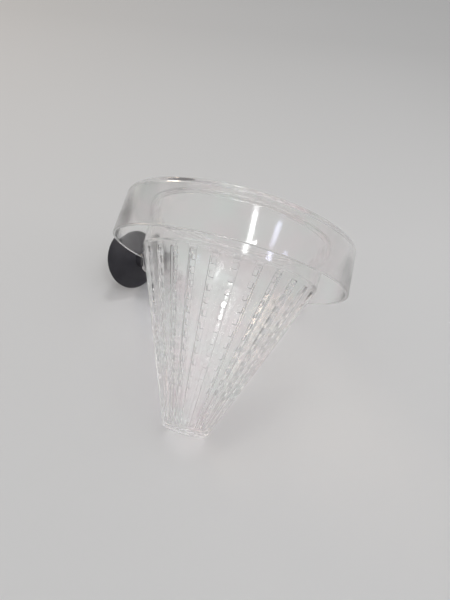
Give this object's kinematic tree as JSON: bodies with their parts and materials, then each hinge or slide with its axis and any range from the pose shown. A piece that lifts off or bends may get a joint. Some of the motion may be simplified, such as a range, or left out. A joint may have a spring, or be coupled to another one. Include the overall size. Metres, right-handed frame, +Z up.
{
  "type": "aquarium worm feeder",
  "caption": "Clear floating ring with a slotted cone basket that drops into it, held to aquarium glass by a rubber suction cup on the ring's rim.",
  "frame": {"origin": "centre of the suction cup's sealing plane, on the glass", "axes": "+Y into the glass that the cup holds to, +Z up along the ring's axis, +X along the glass"},
  "size_m": [0.085, 0.0975, 0.0748],
  "materials": {
    "ring_plastic": "clear, polished",
    "cone_plastic": "clear, polished",
    "black_rubber": "smooth satin"
  },
  "bodies": {
    "suction_cup": {"suction_cup": "black_rubber"},
    "float_ring": {"float_ring": "ring_plastic"},
    "feeding_cone": {"feeding_cone": "cone_plastic"}
  },
  "joints": [
    {"name": "stem_swivel", "type": "hinge", "parent": "suction_cup", "child": "float_ring", "pos_m": [0, 0, 0], "axis": [0, 1, 0], "continuous": true},
    {"name": "cone_lift", "type": "slide", "parent": "float_ring", "child": "feeding_cone", "axis": [0, 0, 1], "range_m": [0, 0.08]}
  ]
}
